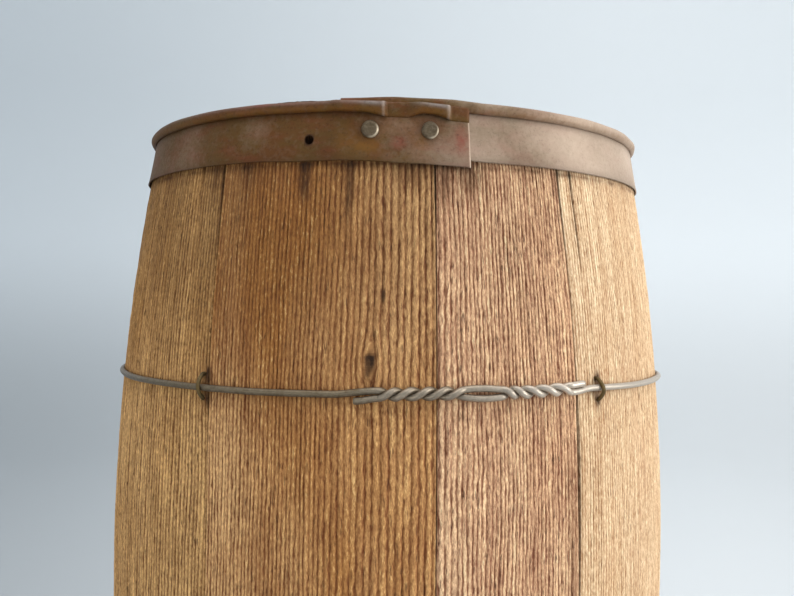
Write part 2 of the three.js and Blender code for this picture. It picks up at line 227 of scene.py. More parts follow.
def tube(path, radius, sides, blunt):
    """Rings of a round wire along a path with slightly rounded cut ends, and their grain coordinates."""
    tangent = unit(np.gradient(path, axis=0))
    upright = abs(tangent[0, 2]) > 0.9
    side = unit(np.cross(tangent[0], [1.0, 0.0, 0.0] if upright else [0.0, 0.0, 1.0]))
    across = [side]
    for t in tangent[1:]:
        side = unit(side - t * (side @ t))
        across.append(side)
    across = np.array(across)
    other = np.cross(tangent, across)
    first, last = path[0] - tangent[0] * blunt, path[-1] + tangent[-1] * blunt
    path = joined([first], path, [last])
    across, other = (joined(v[:1], v, v[-1:]) for v in (across, other))
    radii = np.full(len(path), radius)
    radii[[0, -1]] -= blunt
    a = around(sides)
    ring = np.cos(a)[None, :, None] * across[:, None, :] + np.sin(a)[None, :, None] * other[:, None, :]
    points = path[:, None, :] + ring * radii[:, None, None]
    run = joined([0], np.cumsum(np.linalg.norm(np.diff(path, axis=0), axis=1)))
    return points, together(a[None, :] * radius, run[:, None], 0.0)

WOBBLE = 0.05

def turned(outline, sides, angle, z, seed):
    """Rings of a body turned about a line straight out of the keg's side, from [radius, distance out] pairs,
    and their grain coordinates."""
    out = polar(1.0, angle, 0.0)
    side = np.array([math.cos(math.radians(angle)), math.sin(math.radians(angle)), 0])
    up = np.array([0, 0, 1.0])
    x, y = np.cos(around(sides)), np.sin(around(sides))
    centre = polar(outer_radius(z), angle, z)
    rings = []
    for i, (r, o) in enumerate(outline):
        reach = r * (1 + WOBBLE * noise(x * 1.3 + 5, y * 1.3 + i * 0.1, seed))
        tilt = WOBBLE * 0.6 * r * noise(x + 9, y, seed + 3)
        rings.append(centre + (reach * x)[:, None] * side + (reach * y)[:, None] * up
                     + (o + tilt * (o > 0.5))[:, None] * out)
    points = np.array(rings)
    return points, together(*((points - centre) @ axis for axis in (side, up, out)))

# ---- materials ----

class Nodes:
    """Short ways to add shader nodes to a material."""

    def __init__(self, name):
        self.material = bpy.data.materials.new(name)
        self.material.use_nodes = True
        self.tree = self.material.node_tree
        self.tree.nodes.clear()
        output = self.tree.nodes.new("ShaderNodeOutputMaterial")
        self.shader = self.tree.nodes.new("ShaderNodeBsdfPrincipled")
        self.tree.links.new(self.shader.outputs["BSDF"], output.inputs["Surface"])

    def put(self, socket, value):
        if isinstance(value, bpy.types.NodeSocket):
            self.tree.links.new(value, socket)
        else:
            socket.default_value = value

    def surface(self, **inputs):
        for name, value in inputs.items():
            self.put(self.shader.inputs[name.replace("_", " ")], value)

    def add(self, kind, inputs, output=0, **settings):
        """A new node with its settings and inputs, by name or number; gives back one of its outputs."""
        node = self.tree.nodes.new("ShaderNode" + kind)
        for key, value in settings.items():
            setattr(node, key, value)
        for key, value in inputs.items():
            self.put(node.inputs[key], value)
        return node.outputs[output]

    def attribute(self, name, output="Fac"):
        return self.add("Attribute", {}, output, attribute_name=name)

    def math(self, operation, *values, clamp=False):
        return self.add("Math", dict(enumerate(values)), operation=operation, use_clamp=clamp)

    def plus(self, a, b, clamp=False):
        return self.math("ADD", a, b, clamp=clamp)

    def times(self, a, b, clamp=False):
        return self.math("MULTIPLY", a, b, clamp=clamp)

    def centred(self, value, amount):
        return self.times(self.math("SUBTRACT", value, 0.5), amount)

    def parts(self, vector):
        return self.add("SeparateXYZ", {0: vector}, slice(3))

    def noise(self, vector, detail, roughness, distortion=0.0, scale=None, offset=(0, 0, 0)):
        if scale:
            vector = self.add("Mapping", {"Scale": scale, "Location": offset, "Vector": vector})
        values = {"Scale": 1.0, "Detail": detail, "Roughness": roughness, "Distortion": distortion}
        return self.add("TexNoise", {**values, "Vector": vector}, "Fac")

    def ramp(self, value, low, high, to_low=0.0, to_high=1.0, kind="SMOOTHSTEP"):
        values = {"Value": value, "From Min": low, "From Max": high, "To Min": to_low, "To Max": to_high}
        return self.add("MapRange", values, interpolation_type=kind)

    def mix(self, factor, a, b):
        return self.add("Mix", {"Factor": factor, 6: a, 7: b}, 2, data_type="RGBA")

    def bump(self, height, distance, strength):
        return self.add("Bump", {"Distance": distance, "Strength": strength, "Height": height})

def rgb(r, g, b):
    """A linear colour from sRGB numbers out of 255."""
    def linear(v):
        v /= 255
        return v / 12.92 if v <= 0.04045 else ((v + 0.055) / 1.055) ** 2.4
    return (linear(r), linear(g), linear(b), 1.0)

SHADE_AND_GRIME_TONE = (0.05, 0.024, 0.008, 1)
RUST_STAIN_AND_SHADOW = (0.105, 0.036, 0.010, 1)
BLACK_STAIN_AND_SHADOW = (0.016, 0.007, 0.003, 1)
CUT_TINT = (0.82, 0.6, 0.42, 1.0)

def wood(name, *colours, groove=0.45, depth=0.7, waver=0.3, strands=0.4, fibres=0.5, flecks=0.6, patches=0.25,
         clouds=0.15, fuzz=0.7):
    """Sawn, aged wood: fine dark grooves between ridges that run with the grain. The grain attribute is
    millimetres across and along it, and phase counts the ridges."""
    ridge, valley, patch, fleck, pale = (rgb(*colour) for colour in colours)
    n = Nodes(name)
    grain = n.attribute("grain", "Vector")
    phase, stain, shade_and_grime, worn = (n.attribute(a) for a in ("phase", "stain", "shade_and_grime", "worn"))
    ripple = n.noise(grain, 2, 0.5, scale=(0.8, 0.2, 1), offset=(2, 5, 0))
    drift = n.noise(grain, 1, 0.5, scale=(0.25, 0.05, 1), offset=(8, 1, 0))
    count = n.plus(phase, n.plus(n.centred(ripple, waver * 2.4), n.centred(drift, waver)))
    hump = n.times(n.math("PINGPONG", count, 0.5), 2.0)
    _, along, inward = n.parts(grain)
    def per_ridge(number, spacing, stretch):
        place = {0: n.times(number, spacing), 1: n.times(along, stretch), 2: inward}
        return n.noise(n.add("CombineXYZ", place), 2, 0.5)
    ridge_tone = per_ridge(n.math("FLOOR", count), 7.31, 0.02)
    groove_tone = per_ridge(n.math("FLOOR", n.plus(count, 0.5)), 5.17, 0.05)
    fibre = n.noise(grain, 3, 0.6, 0.3, scale=(1.15, 0.27, 1))
    thread = n.noise(grain, 2, 0.6, scale=(1.9, 0.62, 1), offset=(3, 11, 0))
    blotch = n.noise(grain, 3, 0.55, 0.4, scale=(0.05, 0.022, 1), offset=(1, 9, 0))
    cloud = n.noise(grain, 4, 0.65, 0.5, scale=(0.11, 0.05, 1), offset=(6, 4, 0))
    dash = n.noise(grain, 2, 0.5, scale=(1.5, 0.16, 1), offset=(13, 2, 0))
    tone = n.plus(0.66, n.centred(ridge_tone, strands * 2.0))
    for part, amount in ((fibre, fibres * 2.0), (thread, fibres * 1.7), (hump, 0.28)):
        tone = n.plus(tone, n.centred(part, amount))
    colour = n.mix(n.ramp(tone, 0.0, 1.0, kind="LINEAR"), valley, n.mix(worn, ridge, pale))
    colour = n.mix(n.times(n.ramp(blotch, 0.46, 0.68), patches), colour, patch)
    colour = n.mix(n.ramp(cloud, 0.3, 0.7, clouds, 0.0), colour, valley)
    light = n.times(n.ramp(tone, 0.85, 1.3), 0.5)
    colour = n.mix(light, colour, tuple(min(1.0, v * 1.3) for v in pale[:3]) + (1.0,))
    cut = n.times(n.ramp(hump, groove * 0.15, groove, depth, 0.0), n.ramp(groove_tone, 0.32, 0.6, 0.3, 1.0))
    cut = n.times(cut, n.times(n.ramp(fibre, 0.3, 0.7, 1.0, 0.7), n.ramp(worn, 0.0, 0.7, 0.75, 1.0)))
    colour = n.mix(cut, colour, tuple(v * k for v, k in zip(valley, CUT_TINT)))
    dark = n.times(n.ramp(dash, 0.62, 0.7), flecks)
    colour = n.mix(dark, colour, fleck)
    # Darkening laid on from the attribute: painted shade towards the staves' ends.
    colour = n.mix(n.times(shade_and_grime, n.ramp(cloud, 0.3, 0.7, 0.8, 1.0)), colour, SHADE_AND_GRIME_TONE)
    # Stains, and the painted shadows under the hoops and round the staples, all carried by the stain
    # attribute.
    stain_and_shadow = n.times(stain, n.ramp(fibre, 0.25, 0.7, 1.0, 0.7))
    colour = n.mix(n.ramp(stain_and_shadow, 0.0, 0.5, 0.0, 0.62), colour, RUST_STAIN_AND_SHADOW)
    colour = n.mix(n.ramp(stain_and_shadow, 0.2, 1.0, 0.0, 0.97), colour, BLACK_STAIN_AND_SHADOW)
    rough = n.ramp(fibre, 0.2, 0.8, 0.75, 0.95, kind="LINEAR")
    n.surface(Base_Color=colour, Roughness=rough, Specular_IOR_Level=0.25)
    height = n.plus(fibre, n.times(thread, fuzz))
    height = n.math("SUBTRACT", height, n.times(n.plus(dark, cut), 0.5))
    n.surface(Normal=n.bump(height, 0.0005, 0.9))
    return n.material

OCHRE, PAINTED_SHEEN_TINT = rgb(122, 80, 26), rgb(126, 120, 120)

def metal(name, *colours, metallic, roughness, scale=1.0, bump=0.00012):
    """Old steel or zinc: clean metal under an uneven patina, as thick as its attribute says; highlights are
    painted by thinning it.
    """
    rust, stain, pink, clean, dark = (rgb(*colour) for colour in colours)
    n = Nodes(name)
    grain = n.attribute("grain", "Vector")
    soil_and_shade, patina_and_highlight = n.attribute("soil_and_shade"), n.attribute("patina_and_highlight")
    cloud = n.noise(grain, 4, 0.6, 0.3, scale=(0.06 * scale, 0.1 * scale, 0.05))
    drift = n.noise(grain, 3, 0.5, 0.2, scale=(0.03 * scale, 0.13 * scale, 0.05), offset=(4, 7, 0))
    mottle = n.noise(grain, 4, 0.65, 0.3, scale=(0.3 * scale, 0.34 * scale, 0.2), offset=(9, 3, 0))
    speck = n.noise(grain, 4, 0.7, scale=(0.8 * scale, 0.8 * scale, 0.5), offset=(2, 2, 0))
    fine = n.noise(grain, 3, 0.6, scale=(2.4, 2.4, 1.5), offset=(8, 1, 0))
    brown = n.mix(n.ramp(cloud, 0.38, 0.62), rust, stain)
    brown = n.mix(n.ramp(drift, 0.52, 0.72, 0.0, 0.25), brown, pink)
    cover = n.plus(patina_and_highlight, n.centred(mottle, 0.34), clamp=True)
    colour = n.mix(cover, clean, brown)
    blush = n.times(n.attribute("blush"), n.ramp(mottle, 0.3, 0.7, 0.5, 1.0))
    colour = n.mix(n.times(blush, 0.8, clamp=True), colour, pink)
    colour = n.mix(n.times(blush, -0.75, clamp=True), colour, OCHRE)
    # Painted sheen: a grey reflection laid on where its attribute says.
    colour = n.mix(n.times(n.attribute("painted_sheen"), 0.8, clamp=True), colour, PAINTED_SHEEN_TINT)
    colour = n.mix(n.ramp(speck, 0.5, 0.75, 0.0, n.math("MULTIPLY_ADD", cover, 0.35, 0.1)), colour, dark)
    # Soil, and painted shade, where the attribute says.
    colour = n.mix(n.math("MINIMUM", soil_and_shade, 1.0), colour, dark)
    rough = n.plus(n.times(speck, 0.3), roughness - 0.15)
    rough = n.plus(rough, n.times(soil_and_shade, 0.2), clamp=True)
    n.surface(Base_Color=colour, Metallic=metallic, Specular_IOR_Level=0.22, Roughness=rough)
    height = n.plus(speck, n.times(fine, 0.5))
    n.surface(Normal=n.bump(height, bump, 0.6))
    return n.material

# ---- staves ----

# Each stave's slot and painted shade towards its ends, its ribs' pitches across it, wave, jitter and depth,
# its wear across near the ends and half way up, and how dark its two edges are. The last two can be left out.
STAVE_FIELDS = ("slot", "shade_and_grime", "pitches", "wave", "jitter", "depth", "worn", "worn_low", "edges")
STAVE_DEFAULTS = {"worn_low": (0.5,), "edges": (0.8, 0.8)}
STAVE_ROWS = (
    ("warm_stave", 0.42, (2.0, 2.0, 2.1, 2.3, 2.5, 3.2, 3.5, 3.0), 0.5, 0.14, 1.0,
     (0.1, 0.1, 0.1, 0.3, 0.8, 1.0), (1.0, 0.85, 0.45, 0.25, 0.25, 0.35), (0.6, 1.0)),
    ("pink_stave", 0.16, (2.5, 2.2, 1.9, 2.1), 0.8, 0.22, 0.95, (0.5, 0.45, 0.5, 0.4), (0.5,), (1.0, 0.7)),
    ("golden_stave", 0.05, (1.9, 1.8, 2.0), 0.4, 0.16, 0.4, (0.8, 0.5, 0.5), (0.5,), (0.3, 0.8)),
    ("grey_stave", 0.25, (1.8, 2.1, 1.9), 0.5, 0.2, 0.45, (0.4, 0.6)),
    ("warm_stave", 0.35, (2.4, 3.0, 2.2), 0.6, 0.2, 0.8, (0.6, 0.3, 0.5)),
    ("grey_stave", 0.35, (1.9, 2.2, 2.0), 0.5, 0.2, 0.45, (0.5, 0.4)),
    ("golden_stave", 0.25, (1.7, 1.9, 1.8), 0.4, 0.2, 0.4, (0.5, 0.4), (0.4,)),
    ("pink_stave", 0.25, (1.8, 1.6, 2.0), 0.9, 0.25, 0.6, (0.5, 0.4), (0.4,)),
    ("golden_stave", 0.3, (1.8, 1.7, 1.9), 0.5, 0.2, 0.4, (0.4, 0.5)),
    ("grey_stave", 0.5, (2.3, 2.6, 2.4, 2.2), 0.4, 0.2, 0.8, (0.5, 0.5), (0.95,), (0.8, 0.6)),
)
STAVES = {i + 1: {**STAVE_DEFAULTS, **dict(zip(STAVE_FIELDS, row))} for i, row in enumerate(STAVE_ROWS)}

# How wide the joint before a stave has opened on the outside, at a few heights.
OPENINGS = {
    1: ((0, 385, 405, 430), (0.2, 0.2, 0.7, 1.4)),
    2: ((0, 400, 430), (0.32, 0.38, 0.7)),
    3: ((0, 250, 270, 312, 325, 345, 390, 430), (0.5, 0.6, 1.5, 1.5, 0.6, 0.3, 0.4, 1.0)),
}
TIGHT = ((0, HEIGHT), (0.35, 0.35))

# How far the joint before a stave wanders from its straight line, in degrees at a few heights.
WANDER = {
    1: ((0, 120, 250, 286, 313, 338, 367, 399, 430, 457),
        (1.2, 1.8, 2.1, 1.85, 1.3, 0.6, 0.2, -0.2, -0.75, -0.9)),
    3: ((0, 243, 277, 315, 337, 369, 401, 430, 457), (0.2, 0.2, 0.2, 0.35, 0.4, 0.25, -0.3, -0.6, -0.7)),
}
STRAIGHT = ((0, HEIGHT), (0, 0))

# Each staple across the wire: angle, height, half its height and how far its crown stands out.
STAPLES = [
    (-33.55, 327.7, 5.5, 4.6),
    (38.8, 327.9, 5.0, 5.0),
    (112, 328, 5.4, 4.8),
    (184, 328, 5.3, 4.8),
    (256, 328, 5.4, 4.8),
]

# Cracks that run down from the top: heights and angles of their line, half width and depth.
CRACKS = {
    3: ((383, 392, 408, 424, 431), (36.95, 36.85, 36.65, 36.35, 36.2), 0.5, 3.0),
    10: ((421, 430), (319.85, 319.85), 0.45, 2.0),
}

# Dark runs in the wood: angle, half width in degrees, lowest and highest point, softness and strength.
STREAKS = {
    1: ((-16.1, 1.3, 411, 431, 7, 0.75), (-7.7, 1.2, 405, 431, 9, 0.42), (-7.9, 0.7, 376, 425, 12, 0.28),
        (3.4, 3.0, 416, 431, 6, 0.42), (-28.3, 2.3, 417, 431, 6, 0.32)),
    2: ((31.9, 1.3, 170, 300, 16, 0.3), (13.5, 3.0, 414, 431, 7, 0.5), (9.0, 1.2, 405, 431, 10, 0.4)),
    10: ((290.5, 2.2, 384, 400, 8, 0.35), (323.8, 1.6, 411, 431, 8, 0.35)),
}

def rib_lines(width, pitches, jitter, seed):
    rng = np.random.default_rng(seed)
    beyond = 12.0
    x, lines = -beyond, []
    while x < width + beyond:
        x += spread_over(np.clip(x / width, 0, 1), pitches) * rng.uniform(1 - jitter, 1 + jitter)
        lines.append(x)
    return np.array(lines), rng.uniform(0.6, 1.0, len(lines) + 1)

def ribs(across, z, width, spec, seed):
    """Height from 0 (valley) to 1 (ridge) of the sawn ribs, and the count of ribs up to each point."""
    wave = spec["wave"]
    bent = across + wave * noise(z / 48, across / 30, seed)
    bent = bent + 0.45 * wave * noise(z / 15, across / 9, seed + 1)
    lines, heights = rib_lines(width, spec["pitches"], spec["jitter"], seed)
    i = np.clip(np.searchsorted(lines, bent), 1, len(lines) - 1)
    t = np.clip((bent - lines[i - 1]) / (lines[i] - lines[i - 1]), 0, 1)
    height = np.sin(np.pi * t) ** 0.65 * heights[i] * (1 + 0.3 * noise(z / 22, i * 1.7, seed + 3))
    return np.clip(height, 0, 1.2), i + t

def edge_columns(start, end, fine):
    """Places across a stave, close together at its two edges and over a crack."""
    inset = np.array([0, 0.08, 0.22, 0.45, 0.75])
    count = max(2, round((end - start - 2.4) / COLUMN_PITCH) + 1)
    middle = np.linspace(start + 1.2, end - 1.2, count)
    if fine:
        middle = middle[(middle < fine[0] - 0.2) | (middle > fine[1] + 0.2)]
        middle = np.sort(joined(middle, np.arange(*fine, 0.17)))
    return joined(start + inset, middle, end - inset[::-1])

def stave_rows():
    """Heights of the rows on the outside, closer at the ends."""
    ends = np.array([0, 0.15, 0.5, 1.1, 2.0])
    middle = np.linspace(3.5, HEIGHT - 3.5, round((HEIGHT - 7) / ROW_PITCH) + 1)
    return joined(ends, middle, HEIGHT - ends[::-1])

def inner_section():
    """The stave's ends and inside, from the top outer corner down to the bottom outer one, as [depth from the
    outside, height] pairs, with rows enough to bend."""
    t = STAVE_THICKNESS
    low, high = CROZE_HEIGHT - CROZE_WIDTH / 2, CROZE_HEIGHT + CROZE_WIDTH / 2
    end = [(0.5, 0.0), (2.0, 0.0), (4.0, 0.0), (CHIME_FLAT, 0.0), (CHIME_FLAT + 0.5, 0.6),
           (t - 0.4, CHIME_BEVEL - 0.6), (t, CHIME_BEVEL + 0.3), (t, 15.0), (t, low - 0.1), (t - 0.2, low),
           (t - CROZE_DEPTH, low), (t - CROZE_DEPTH, high), (t - 0.2, high), (t, high + 0.2)]
    top = [(d, HEIGHT - z) for d, z in end]
    middle = [(t, z) for z in np.linspace(HEIGHT - high - 8, high + 8, 17)]
    return np.array(top + middle + end[::-1])

def stave(number):
    spec = STAVES[number]
    following = number % len(STAVES) + 1
    first, last = (SEAM_ANGLES + [SEAM_ANGLES[0] + 360])[number - 1:number + 1]
    seed = 100 + 17 * number
    width = math.radians(last - first) * BILGE_RADIUS
    def place(angle):
        return math.radians(angle - first) * BILGE_RADIUS
    fine = None
    if number in CRACKS:
        places = [place(angle) for angle in CRACKS[number][1]]
        fine = (min(places) - 1.0, max(places) + 1.0)
    columns = edge_columns(SEAM_GAP, width - SEAM_GAP, fine)
    across, z = np.meshgrid(columns, stave_rows(), indexing="ij")
    theta = first + np.degrees(across / BILGE_RADIUS)
    bent = across.copy()
    if number == 1:
        # the grain bends round the knot
        from_knot = across - place(-3.3)
        bent = bent - 2.2 * np.tanh(from_knot / 1.5) * bell(z, 341.0, 10.0) * bell(from_knot, 0, 7.0)
    left, right = (WANDER.get(n, STRAIGHT) for n in (number, following))
    def lean(angle, across, z):
        share = np.clip(across / width, 0, 1)
        return angle + table(z, left) * (1 - share) ** 2 + table(z, right) * share ** 2
    def ragged(across, z):
        """Heights with the sawn ends a little uneven."""
        uneven = 0.25 * noise(across / 9, 3.0, seed + 12) + 0.12 * noise(across / 1.5, 3.0, seed + 13)
        return z + uneven * (smooth(z, HEIGHT - 6, HEIGHT) - smooth(-z, -6, 0))
    height, phase = ribs(bent, z, width, spec, seed)
    level = noise(across / 21, z / 160, seed + 5) * 0.18 + noise(across / 6, z / 40, seed + 6) * 0.08
    fuzz = noise(across / 0.9, z / 4.5, seed + 7) * 0.1
    drop = spec["depth"] * (1 - height) + 0.12 - level - fuzz
    # rounded long edges, more worn in places
    from_edge = np.minimum(across, width - across)
    first_half = across < width / 2
    r = 0.35 + 0.7 * (0.55 + 0.45 * noise(z / 60, np.where(first_half, 1.0, 7.0), seed + 8))
    drop += 0.8 * np.where(from_edge < r, r - np.sqrt(np.maximum(r * r - (r - from_edge) ** 2, 0)), 0)
    before, after = (OPENINGS.get(n, TIGHT) for n in (number, following))
    opening = np.where(first_half, table(z, before), table(z, after))
    seam = np.where(first_half, *spec["edges"]) * (0.35 + 0.65 * smooth(opening, 0.25, 0.55))
    stain = 0.95 * seam * bell(from_edge, 0, 0.42) + 0.22 * seam * np.exp(-from_edge / 1.6)
    # rounded, darker ends
    from_end = np.minimum(z, HEIGHT - z)
    drop += np.where(from_end < 2, (2 - from_end) ** 2 * 0.14, 0)
    stain += 0.25 * np.exp(-from_end / 6)
    # rust round the staples' legs, with painted shadow of the staples there too; painted shadow under the
    # hoops; soil along the wires
    for high in (z, HEIGHT - z):
        for angle, middle, half, _ in STAPLES:
            for leg in (middle - half, middle + half):
                d = np.hypot(np.radians(wrap(theta - angle)) * BILGE_RADIUS, (high - leg) / 1.5)
                stain += 0.75 * bell(d, 0, 1.9) + 0.2 * bell(d, 0, 4.0)
        # Painted shadow just under the hoop's lower edge, and a broader darkening below it.
        stain += 0.55 * bell(high, 427.6, 1.8) * (0.6 + 0.4 * noise(across / 7, 2.0, seed + 9))
        stain += 0.2 * bell(high, 424, 6) * (0.5 + 0.5 * noise(across / 3, high / 30, seed + 10))
        stain += 0.35 * bell(high, WIRE_HEIGHT, 2.0)
        stain += 0.16 * bell(high, 331.5, 3.5) * (0.6 + 0.4 * noise(across / 4, 5.0, seed + 11))
    drop, stain = front_marks(number, lean(theta, across, z), z, drop, stain)
    from_middle = np.abs(z - HEIGHT / 2)
    worn, worn_low = (spread_over(across / width, spec[key]) for key in ("worn", "worn_low"))
    worn = worn + (worn_low - worn) * (1 - smooth(from_middle, 50, 150))
    worn += 0.2 * noise(across / 12, z / 50, seed + 16)
    # Painted shade: darker towards both ends, and more on the staves at the keg's left, away from the window.
    shade_and_grime = spec["shade_and_grime"] * smooth(from_middle, 60, 200)
    shade_and_grime *= 0.8 + 0.25 * noise(across / 14, z / 60, seed + 15)
    # the outside face draws back where a joint is open
    move = np.maximum(table(z, before) / 2 - SEAM_GAP, 0) * bell(across, 0, 1.2)
    move -= np.maximum(table(z, after) / 2 - SEAM_GAP, 0) * bell(width - across, 0, 1.2)
    angle = lean(theta, across, z) + np.degrees(move / BILGE_RADIUS)
    outside = polar(outer_radius(z) - drop, angle, ragged(across, z))
    depth, z_in = inner_section().T
    across_in, depth = np.meshgrid(columns, depth, indexing="ij")
    z_in = np.broadcast_to(z_in, depth.shape)
    rough = 0.18 * noise(across_in / 3.5, z_in / 30, seed + 14) * (depth > 7)
    angle_in = lean(first + np.degrees(across_in / BILGE_RADIUS), across_in, z_in)
    inside = polar(outer_radius(z_in) - depth + rough, angle_in, ragged(across_in, z_in))
    end_mark = (z_in < 9) | (z_in > HEIGHT - 9)
    grain_in = together(across_in + 200 * number, z_in + depth * 3, number * 3.7 + 20)
    plain = np.full(depth.shape, 0.3)
    pairs = {
        "grain": (together(bent + 200 * number, z, number * 3.7), grain_in),
        "phase": (phase, across_in / INNER_PITCH),
        "stain": (np.clip(stain, 0, 1), 0.15 + 0.2 * end_mark),
        "shade_and_grime": (np.clip(shade_and_grime, 0, 1), plain),
        "worn": (np.clip(worn, 0, 1), plain),
    }
    attributes = {key: joined(*pair, axis=1) for key, pair in pairs.items()}
    return ring_mesh(f"sawn_stave_{number:02d}", joined(outside, inside, axis=1), attributes, sharp=50)

def front_marks(number, theta, z, drop, stain):
    """The cracks, knot, holes and stains that single staves have."""
    for angle, half_angle, low, high, soft, strength in STREAKS.get(number, ()):
        along = smooth(z, low - soft, low + soft) * (1 - smooth(z, high - soft, high + soft))
        stain = stain + strength * bell(theta, angle + 0.12 * noise(z / 9, 1.0, number), half_angle) * along
    if number in CRACKS:
        heights, angles, half_width, depth = CRACKS[number]
        from_line = (theta - table(z, (heights, angles)) - 0.07 * noise(z / 5, 2.0, 55)) * ARC_DEGREE
        inside = smooth(z, heights[0] - 3, heights[0] + 4)
        width = half_width * (0.45 + 0.55 * smooth(z, heights[0], heights[0] + 25))
        shape = bell(from_line, 0, width) * inside
        drop = drop + depth * shape + 0.12 * bell(from_line, 0, 1.0) * inside
        stain = stain + 1.3 * shape
    if number == 1:
        # the knot and the slit above it
        above = z - 340.5
        d = np.hypot((theta + 3.35 - 0.03 * above) * ARC_DEGREE / 2.1, above / 4.8)
        d = d * (1 + 0.3 * noise(theta * 2.2, z / 2.4, 77))
        stain = stain + 0.95 * np.exp(-(d ** 3)) - 0.3 * bell(d, 0, 0.5) + 0.3 * bell(d, 0, 2.1)
        drop = drop - 0.3 * bell(d, 0, 1.7) + 0.7 * bell(d, 0, 0.7)
        stain = stain + 1.4 * bell(theta, -1.4, 0.36) * bell(z, 369.5, 3.0)
        # the open hole of the lost nail
        hole = np.hypot((theta - LOST_NAIL_ANGLE) * ARC_DEGREE * 0.87, z - NAIL_HEIGHT)
        stain = stain + 1.5 * np.exp(-((hole / 3.2) ** 4))
        drop = drop + 3 * np.exp(-((hole / 1.9) ** 4))
    return drop, stain

# ---- heads ----

HEAD_RIBS = dict(wave=0.7, pitches=(1.9, 2.4, 2.0), jitter=0.3)

def head_board(name, low, high, lower_end, seed):
    """One board of a head: low and high are its edges across the grain."""
    centre = HEIGHT - CROZE_HEIGHT
    radius = outer_radius(centre) - STAVE_THICKNESS + CROZE_DEPTH - 0.6
    tongue = radius - CROZE_DEPTH - 0.3
    flat = tongue - 10
    low, high = max(low, -radius + 0.05) + SEAM_GAP, min(high, radius - 0.05) - SEAM_GAP
    middle = np.linspace(low + 1.2, high - 1.2, int((high - low) / 0.9))
    rows = joined([low, low + 0.15, low + 0.5], middle, [high - 0.5, high - 0.15, high])
    half = np.sqrt(np.maximum(radius ** 2 - rows ** 2, 1e-3))
    ends = np.array([0, 0.004, 0.012, 0.024])
    columns = joined(ends, np.linspace(0.036, 0.964, 64), 1 - ends[::-1])
    along = half[:, None] * (columns * 2 - 1)
    across = np.broadcast_to(rows[:, None], along.shape)
    rim = np.hypot(along, across)
    edge = CROZE_WIDTH / 2 - 0.4
    thick = np.interp(rim, [0, flat, tongue, radius], [HEAD_THICKNESS / 2, HEAD_THICKNESS / 2, edge, edge])
    height, phase = ribs(across - low, along + 200, high - low, HEAD_RIBS, seed)
    from_edge = np.minimum(across - low, high - across)
    round_edge = np.where(from_edge < 0.8, (0.8 - from_edge) ** 2 * 0.7, 0)
    lift = -0.22 * (1 - height) - round_edge + 0.1 * noise(across / 9, along / 60, seed + 1)
    def both(top, bottom):
        return joined(top, bottom[:, ::-1], axis=1)
    cos, sin = math.cos(HEAD_GRAIN_ANGLE), math.sin(HEAD_GRAIN_ANGLE)
    x, y = along * cos - across * sin, along * sin + across * cos
    points = both(together(x, y, centre + thick + lift), together(x, y, centre - thick))
    stain = 0.25 * smooth(rim, flat, radius) + 0.4 * np.exp(-from_edge / 0.5)
    grain = together(across + 900 + seed, along + 150, seed * 0.9)
    attributes = {
        "grain": both(grain, grain),
        "phase": both(phase, across / INNER_PITCH),
        "stain": both(stain, stain),
        "worn": 0.4,
        "shade_and_grime": both(0.2 + 0.3 * smooth(rim, 70, radius), np.full(rim.shape, 0.2)),
    }
    return ring_mesh(name, points, attributes, 50, lower_end)

# ---- end hoop ----

# How far the lap's top layer sags along its band and its roll, and how its under layer rises, by angle.
BAND_SAG = ((-26, -19, -9.1, -6.2, -4, -1.5, 2.1, 4.6, 7.7, 10.9, 13.9),
            (0, -0.7, -0.7, -0.9, -1.1, -1.5, -1.9, -1.9, -2.2, -2.5, -2.8))
ROLL_SAG = ((-28, -18, -11, -9, -5, 2.3, 5, 7.7, 10, 13.9),
            (0, -0.3, -0.4, -0.8, -1.1, -1.35, -1.3, -1.8, -2.1, -2.5))
UNDER_RISE = ((-9.9, -6.2, -4, -1.5, 0.4, 2.1, 4.6, 10.9, 13, 14.5, 16.5),
              (0.8, 0.8, 0.93, 1.09, 1.16, 1.0, 0.85, 0.9, 0.64, 0.3, 0))
UNDER_END = 16.5

# How clean the steel is by angle along the hoop, from the lap's inner end round to its outer end.
FADE = ((-20, 0, 12, 18, 23, 31, 42, 120, 200, 350, 361, 371, 374),
        (0, 0.2, 0.5, 0.48, 0.34, 0.54, 0.85, 0.7, 0.1, 0, 0.02, 0.22, 0.26))

# Patches of red (above 0) and ochre (below 0) on the lap: strength, angle, height, half width, half height.
BLUSHES = ((0.9, 0.7, 436.3, 4.6, 3.0), (0.75, 12.3, 438.5, 3.4, 6.0), (0.3, 9.0, 435, 6, 3.5),
           (0.35, -12, 436, 9, 6), (-0.9, -4.8, 435.5, 5, 4), (-0.7, 5.2, 439, 3, 3.5), (-0.5, -9, 437, 9, 5))

def crimp(angle):
    """How far the roll is pinched flat at an angle, from 0 to 1."""
    return smooth(angle, -1.9, -1.2) - smooth(angle, 2.0, 4.6) + smooth(angle, 9.8, 10.5)

def crimp_reach(angle):
    """How far the pinched metal hangs down at an angle, from 0 to 1."""
    return smooth(angle, -6.0, -0.8) - smooth(angle, 2.2, 5.5) + smooth(angle, 7.2, 10.9)

